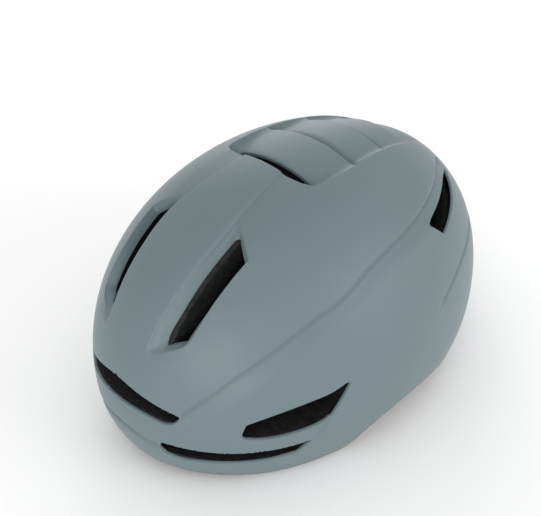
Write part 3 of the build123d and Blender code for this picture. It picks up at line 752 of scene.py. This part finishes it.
def paint():
    m = Maker("matte_slate_paint")
    tone = m.noise(9, 3)
    m.put("Base Color", m.ramp(tone, (0.112, 0.156, 0.169), (0.124, 0.171, 0.184)))
    m.put("Roughness", m.spread(m.noise(60, 5), 0.44, 0.56))
    grain = m.bump(m.noise(2600, 2), 0.10, 0.0003)
    m.put("Normal", m.bump(m.noise(45, 2), 0.03, 0.001, grain))
    m.plain(Specular_IOR_Level=0.42, Sheen_Weight=0.10, Sheen_Roughness=0.4)
    m.plain(Coat_Weight=0.04, Coat_Roughness=0.35)
    return m.material


def foam():
    m = Maker("bead_foam")
    beads = m.cells(330)
    m.put("Base Color", m.ramp(beads, (0.016, 0.017, 0.018), (0.006, 0.0065, 0.007), 0.1, 0.7))
    m.put("Roughness", m.spread(m.noise(300, 3), 0.62, 0.85))
    skin = m.bump(m.noise(1400, 3), 0.12, 0.0004)
    m.put("Normal", m.bump(beads, 0.35, 0.0007, skin))
    m.plain(Specular_IOR_Level=0.3)
    return m.material


def moulded(name, low, high, rough_low, rough_high, grain, strength):
    """Injection-moulded plastic or rubber with a spark-eroded grain."""
    m = Maker(name)
    m.put("Base Color", m.ramp(m.noise(28, 4), low, high))
    m.put("Roughness", m.spread(m.noise(190, 4), rough_low, rough_high))
    fine_grain = m.bump(m.noise(grain * 0.5, 3), strength, 0.0002)
    m.put("Normal", m.bump(m.cells(grain), strength, 0.0002, fine_grain))
    m.plain(Specular_IOR_Level=0.4)
    return m.material


def steel():
    m = Maker("screw_steel")
    m.put("Base Color", m.ramp(m.noise(120, 4), (0.42, 0.43, 0.44), (0.56, 0.57, 0.58)))
    m.put("Roughness", m.spread(m.noise(400, 4), 0.24, 0.42))
    m.put("Normal", m.bump(m.noise(1800, 3), 0.12, 0.0001))
    m.plain(Metallic=1.0)
    return m.material


def cloth(name, low, high, scale_u, scale_v, strength, sheen=0.25):
    """Woven or knitted cloth, its threads laid out along the piece's own surface map (metres)."""
    m = Maker(name)
    m.coords = m.nodes["Texture Coordinate"].outputs["UV"]
    waves = []
    for direction, scale in (("X", scale_u), ("Y", scale_v)):
        wave = m.node("ShaderNodeTexWave", wave_type="BANDS", bands_direction=direction)
        wave.inputs["Scale"].default_value = scale
        wave.inputs["Distortion"].default_value = 0.6
        wave.inputs["Detail Scale"].default_value = 3
        m.links.new(m.coords, wave.inputs["Vector"])
        waves.append(wave.outputs["Fac"])
    weave = m.node("ShaderNodeMath", operation="MULTIPLY")
    m.links.new(waves[0], weave.inputs[0])
    m.links.new(waves[1], weave.inputs[1])
    m.coords = m.nodes["Texture Coordinate"].outputs["Object"]
    m.put("Base Color", m.ramp(weave.outputs["Value"], low, high, 0.1, 0.9))
    m.put("Roughness", m.spread(m.noise(500, 3), 0.78, 0.95))
    fuzz = m.bump(m.noise(2400, 3), 0.2, 0.0002)
    m.put("Normal", m.bump(weave.outputs["Value"], strength, 0.0004, fuzz))
    m.plain(Specular_IOR_Level=0.25, Sheen_Weight=sheen, Sheen_Roughness=0.5)
    return m.material


def dress(obj, material):
    obj.data.materials.clear()
    obj.data.materials.append(material)


# ---------------------------------------------------------------- soft parts
def piece_with_map(name, verts, faces, uvs, sharp, body):
    """Piece whose surface map is given per vertex, in metres."""
    obj = mesh_object(name, verts, faces, sharp, body)
    layer = obj.data.uv_layers.new(name="map")
    for loop in obj.data.loops:
        layer.data[loop.index].uv = uvs[loop.vertex_index]
    return obj


def ring_of(half_u, half_v, corner, quarter=12):
    """Rounded rectangle outline, with as many points at each corner."""
    corner = min(corner, half_u, half_v)
    out = []
    for sx, sy, start in ((1, 1, 0), (-1, 1, 90), (-1, -1, 180), (1, -1, 270)):
        cx, cy = sx * (half_u - corner), sy * (half_v - corner)
        for i in range(quarter):
            angle = math.radians(start + 90 * i / (quarter - 1))
            out.append((cx + corner * math.cos(angle), cy + corner * math.sin(angle)))
    return np.array(out)


def densify(ring, spacing):
    """Adds points to the long sides of a closed outline."""
    out = []
    for a, b in zip(ring, np.roll(ring, -1, axis=0)):
        steps = max(1, int(np.linalg.norm(b - a) / spacing))
        out += [a + (b - a) * i / steps for i in range(steps)]
    return np.array(out)


def pad(name, place, half_u, half_v, corner, thick, body, channels=()):
    """Stuffed pad: crowned face with a stitched hem and pressed channels, flat back.

    place(u, v, w) gives the point at u and v along the pad and w above its back."""
    edge = densify(ring_of(half_u, half_v, corner), 1.6)
    small = min(half_u, half_v)
    insets = np.array([0, 0.25, 0.7, 1.3, 1.9, 2.5, 3.2, 4.0, 5.0, 6.2, 7.6, 9.2, 11, 13])
    insets = np.append(insets[insets < small - 0.6], small - 0.05)
    rng = np.random.default_rng(len(name) * 7 + 3)
    phase = rng.uniform(0, 6.28, 6)
    hem, hem_width = 0.9, 1.9

    def scaled(d):
        return edge * ((half_u - d) / half_u, (half_v - d) / half_v)

    def crown(d, ring):
        """Heights of a ring that is inset by d."""
        if d < hem_width:
            level = hem * (0.55 + 0.45 * math.sqrt(max(0, 1 - (1 - min(d / 0.9, 1)) ** 2)))
            level -= 0.35 * math.exp(-((d - 1.6) / 0.35) ** 2)
        else:
            t = min((d - 1.6) / 5.0, 1)
            level = hem + (thick - hem) * math.sqrt(1 - (1 - t) ** 2)
        w = np.full(len(ring), level)
        if d >= hem_width:
            w += 0.10 * np.sin(ring[:, 0] * 0.55 + phase[0]) * np.sin(ring[:, 1] * 0.43 + phase[1])
            for at in channels:
                w -= (thick - 1.5) * np.exp(-((ring[:, 1] - at) / 1.1) ** 2) * min((d - 1.6) / 2.0, 1)
        return w

    verts, uvs, faces = [], [], []
    count = len(edge)
    for d in insets:
        ring = scaled(d)
        for (u, v), w in zip(ring, crown(d, ring)):
            verts.append(place(u, v, w))
            uvs.append((u * MM, v * MM))
    for d in (0, small * 0.5, small - 0.05):
        for u, v in scaled(d):
            verts.append(place(u, v, 0))
            uvs.append((u * MM, v * MM))
    rings = len(insets)
    for r in range(rings - 1):
        for i in range(count):
            j = (i + 1) % count
            faces.append((r * count + i, r * count + j, (r + 1) * count + j, (r + 1) * count + i))
    low = rings * count
    for i in range(count):
        j = (i + 1) % count
        faces.append((low + i, low + j, j, i))
        for r in range(2):
            a = low + r * count
            faces.append((a + j, a + i, a + count + i, a + count + j))
    faces.append(tuple((rings - 1) * count + i for i in range(count)))
    faces.append(tuple(low + 2 * count + i for i in reversed(range(count))))
    obj = piece_with_map(name, verts, faces, uvs, 60, body)
    fix_normals(obj)
    dress(obj, PAD_CLOTH)
    return obj


def fix_normals(obj):
    """Turns all faces of a closed piece outward."""
    bm = bmesh.new()
    bm.from_mesh(obj.data)
    bmesh.ops.recalc_face_normals(bm, faces=bm.faces)
    bm.to_mesh(obj.data)
    bm.free()


def wall_place(level, gap):
    """Places a pad on the straight front wall of the cavity: u along the wall, v up."""
    angles = np.linspace(math.pi, 2 * math.pi, 1200)
    xs = (CAVITY_HALF_WIDTH - gap) * np.cos(angles)
    ys = CAVITY_Y + (CAVITY_HALF_LENGTH - gap) * np.sin(angles)
    run = np.concatenate(([0], np.cumsum(np.hypot(np.diff(xs), np.diff(ys)))))
    centre = np.interp(math.pi * 1.5, angles, run)

    def place(u, v, w):
        angle = np.interp(centre + u, run, angles)
        nx, ny = -math.cos(angle) * CAVITY_HALF_LENGTH, -math.sin(angle) * CAVITY_HALF_WIDTH
        size = math.hypot(nx, ny)
        x = (CAVITY_HALF_WIDTH - gap) * math.cos(angle) + nx / size * w
        y = CAVITY_Y + (CAVITY_HALF_LENGTH - gap) * math.sin(angle) + ny / size * w
        return x, y, level + v - EQUATOR

    return place


def roof_place(middle_x, gap):
    """Places a pad under the roof of the cavity: u across, v lengthwise."""

    def place(u, v, w):
        x, y = middle_x + u, v
        a, b, c = CAVITY_HALF_WIDTH - gap, CAVITY_HALF_LENGTH - gap, CAVITY_RISE - gap
        z = c * math.sqrt(max(0.01, 1 - (x / a) ** 2 - ((y - CAVITY_Y) / b) ** 2))
        n = Vector((x / a**2, (y - CAVITY_Y) / b**2, z / c**2)).normalized()
        return tuple(Vector((x, y, z)) - n * w)

    return place


def flat_place(origin, u_way, v_way, w_way):
    """Places a pad on a plane."""
    origin, u_way, v_way, w_way = (Vector(q) for q in (origin, u_way, v_way, w_way))

    def place(u, v, w):
        return tuple(origin + u_way * u + v_way * v + w_way * w)

    return place


def webbing(name, node, path, bottom, top, body="helmet"):
    """Flat strap on edge along a plan path, with a ribbed weave, bound edges and a little wander."""
    line = curve_through(path, 1.1)
    way = np.gradient(line, axis=0)
    way /= np.linalg.norm(way, axis=1)[:, None]
    side = np.column_stack((way[:, 1], -way[:, 0]))
    run = np.concatenate(([0], np.cumsum(np.linalg.norm(np.diff(line, axis=0), axis=1))))
    half = (top - bottom) / 2
    rows = np.linspace(-1, 1, 31)
    lens = WEBBING_THICK / 2 * np.minimum(1, 0.55 + 0.45 * np.sqrt(np.clip((1 - np.abs(rows)) / 0.07, 0, 1)))
    ribs = 0.07 * np.cos(rows * math.pi * 9)
    verts, uvs, faces = [], [], []
    for i, (p, s) in enumerate(zip(line, side)):
        wander = 0.18 * math.sin(run[i] / 11.0 + len(name))
        end = min(run[i], run[-1] - run[i])
        wander *= min(end / 8, 1)
        for face_sign in (1, -1):
            order = range(len(rows)) if face_sign > 0 else reversed(range(len(rows)))
            for r in order:
                offset = face_sign * (lens[r] + ribs[r] - 0.07) + wander
                x, y = p + s * offset
                verts.append((x, y, bottom + half + rows[r] * half - EQUATOR))
                uvs.append((run[i] * MM, (rows[r] * half + face_sign * 2 * half) * MM))
    count = 2 * len(rows)
    for i in range(len(line) - 1):
        for r in range(count):
            s = (r + 1) % count
            faces.append((i * count + r, i * count + s, (i + 1) * count + s, (i + 1) * count + r))
    faces.append(tuple(range(count)))
    faces.append(tuple((len(line) - 1) * count + i for i in reversed(range(count))))
    obj = piece_with_map(name, verts, faces, uvs, 50, body)
    fix_normals(obj)
    dress(obj, WEBBING_CLOTH)
    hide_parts(node)
    return obj


# ---------------------------------------------------------------- everything together
PAINT = paint()
FOAM = foam()
NYLON = moulded("retention_nylon", (0.012, 0.0125, 0.013), (0.02, 0.021, 0.022), 0.42, 0.6, 2600, 0.10)
TRIM = moulded("rim_trim_plastic", (0.05, 0.048, 0.043), (0.075, 0.07, 0.062), 0.5, 0.65, 2200, 0.12)
RUBBER = moulded("dial_rubber", (0.010, 0.010, 0.011), (0.018, 0.018, 0.019), 0.62, 0.8, 3000, 0.16)
ACETAL = moulded("buckle_acetal", (0.011, 0.0115, 0.012), (0.018, 0.019, 0.02), 0.34, 0.5, 3200, 0.07)
HOOKS = moulded("hook_nylon", (0.02, 0.02, 0.021), (0.03, 0.03, 0.031), 0.7, 0.9, 1100, 0.9)
STEEL = steel()
PAD_CLOTH = cloth("pad_knit", (0.010, 0.0105, 0.011), (0.030, 0.031, 0.033), 560, 620, 0.6, 0.35)
WEBBING_CLOTH = cloth("strap_webbing", (0.009, 0.0095, 0.010), (0.032, 0.033, 0.035), 420, 620, 0.7)

skin = make_shell()
dress(skin, PAINT)

NODE_LOOKS = {
    "eps_liner": FOAM,
    "rim_trim": TRIM,
    "hook_patches": HOOKS,
    "side_band_left": NYLON,
    "side_band_right": NYLON,
    "temple_pin_left": ACETAL,
    "temple_pin_right": ACETAL,
    "dial_housing": NYLON,
    "dial_cover": NYLON,
    "height_guide": ACETAL,
    "pinion": ACETAL,
    "dial_knob": RUBBER,
    "dial_screw": STEEL,
    "front_strap_anchors": ACETAL,
    "rear_strap_anchors": ACETAL,
    "strap_divider_left": ACETAL,
    "strap_divider_right": ACETAL,
    "buckle_socket": ACETAL,
    "buckle_plug": ACETAL,
}
for node, look in NODE_LOOKS.items():
    dress(NODES[node], look)

brow = pad("brow_pad_knit", wall_place(34, PATCH_GAP), 88, 9.8, 5, PAD_THICK, "helmet")
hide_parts("brow_pad")
for name, side in SIDES:
    under_roof = roof_place(side * 21, PATCH_GAP)
    crown = pad(f"crown_pad_{name}_knit", under_roof, 10.8, 42, 8, PAD_THICK, "helmet", channels=(-14, 14))
    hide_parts(f"crown_pad_{name}")
    # the nape pads lean with the cradle, and their backs are half a pad behind the CAD pad's middle
    low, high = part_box(f"nape_pad_{name}")
    lean = math.radians(12)
    middle = (low + high) / 2 / MM
    half_thick = 1.9
    back_y, back_z = middle.y + half_thick * math.cos(lean), middle.z - half_thick * math.sin(lean)
    on_cradle = flat_place(
        (middle.x, back_y, back_z - EQUATOR),
        (1, 0, 0),
        (0, math.sin(lean), math.cos(lean)),
        (0, -math.cos(lean), math.sin(lean)),
    )
    nape = pad(f"nape_pad_{name}_knit", on_cradle, 7.9, 12, 5, 3.7, "cradle")
    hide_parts(f"nape_pad_{name}")

for name, side in SIDES:
    front_path = [(side * 81.6, -8.2), (side * 79.3, -27), (side * 75.8, -45.9)]
    rear_path = [(side * 80.4, 14.2), (side * 78.2, 27), (side * 74.6, 39.5)]
    webbing(f"front_strap_{name}_web", f"front_strap_{name}", front_path, *LEG_EDGES)
    webbing(f"rear_strap_{name}_web", f"rear_strap_{name}", rear_path, *LEG_EDGES)

LEFT_PATH = [(10.2, -82), (50, -70), (70, -45), (77.5, -22), (79.2, -8.3)]
RIGHT_PATH = [(-40.2, -82), (-56, -70), (-69.5, -45), (-77.5, -22), (-79.2, -8.3)]
left_strap = webbing("chin_strap_left_web", "chin_strap_left", LEFT_PATH, *CHIN_EDGES, body=None)
webbing("chin_strap_right_web", "chin_strap_right", RIGHT_PATH, *CHIN_EDGES)
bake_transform(left_strap)

chin_line = curve_through([(-53.6, -67.9), (-63.2, -51.6), (-70, -35.5)], 0.5)
chin_run = np.concatenate(([0], np.cumsum(np.linalg.norm(np.diff(chin_line, axis=0), axis=1))))


def chin_point(at):
    return np.array([np.interp(at, chin_run, chin_line[:, k]) for k in (0, 1)])


def chin_place(u, v, w):
    """Places the chin pad around the right chin strap: u along it, v up."""
    at = chin_run[-1] / 2 + u
    x, y = chin_point(at)
    dx, dy = chin_point(at + 0.5) - chin_point(at - 0.5)
    out = (w - 1.5) / math.hypot(dx, dy)
    return float(x - dy * out), float(y + dx * out), sum(CHIN_EDGES) / 2 + v - EQUATOR


chin = pad("chin_pad_knit", chin_place, float(chin_run[-1]) / 2 - 0.3, 5.8, 3, 3.0, "helmet")
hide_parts("chin_pad")

# ---------------------------------------------------------------- studio
FLOOR_REACH = 25
floor_mesh = bpy.data.meshes.new("floor")
corners = [(x * FLOOR_REACH, y * FLOOR_REACH, 0) for x, y in ((-1, -1), (1, -1), (1, 1), (-1, 1))]
floor_mesh.from_pydata(corners, [], [(0, 1, 2, 3)])
floor = bpy.data.objects.new("floor", floor_mesh)
bpy.context.scene.collection.objects.link(floor)
floor_look = Maker("pale_floor")
floor_look.put("Base Color", floor_look.ramp(floor_look.noise(3), (0.92, 0.92, 0.92), (0.94, 0.94, 0.94)))
floor_look.plain(Roughness=0.9, Specular_IOR_Level=0.1)
dress(floor, floor_look.material)
floor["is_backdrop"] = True


def area_light(name, position, target, size, power):
    data = bpy.data.lights.new(name, "AREA")
    data.shape = "SQUARE"
    data.size = size
    data.energy = power
    light = bpy.data.objects.new(name, data)
    light.location = position
    light.rotation_euler = (Vector(target) - Vector(position)).to_track_quat("-Z", "Y").to_euler()
    bpy.context.scene.collection.objects.link(light)


HELMET_MIDDLE = Vector((0, 0, 0.08))
area_light("front", (0.9, -1.3, 0.30), HELMET_MIDDLE, 0.7, 9)
area_light("left", (1.4, 0.5, 0.55), HELMET_MIDDLE, 0.7, 5)
area_light("rear_right", (-1.1, 1.0, 0.7), HELMET_MIDDLE, 0.9, 5)
world = bpy.data.worlds.new("studio")
bpy.context.scene.world = world
world.use_nodes = True
background = world.node_tree.nodes["Background"]
background.inputs["Color"].default_value = (1, 1, 1, 1)
background.inputs["Strength"].default_value = 0.92

# ---------------------------------------------------------------- camera
AZIMUTH, ELEVATION, ROLL = math.radians(45.78), math.radians(35.86), math.radians(-1.32)
CAMERA_AT = (0.2785, -0.2947, 0.3698)
camera_data = bpy.data.cameras.new("camera")
camera_data.lens = 49.5
camera_data.sensor_width = 36
camera = bpy.data.objects.new("camera", camera_data)
bpy.context.scene.collection.objects.link(camera)
right = Vector((math.cos(AZIMUTH), math.sin(AZIMUTH), 0))
level_back = Vector((math.sin(AZIMUTH), -math.cos(AZIMUTH), 0))
back = level_back * math.cos(ELEVATION) + Vector((0, 0, math.sin(ELEVATION)))
up = back.cross(right)
cam_x = right * math.cos(ROLL) + up * math.sin(ROLL)
cam_y = up * math.cos(ROLL) - right * math.sin(ROLL)
turned = Matrix((cam_x, cam_y, back)).transposed().to_4x4()
camera.matrix_world = Matrix.Translation(CAMERA_AT) @ turned
bpy.context.scene.camera = camera
bpy.context.scene.view_settings.view_transform = "Standard"

size_at_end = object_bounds()
[[list(corner) for corner in size] for size in (size_at_start, size_at_end)]
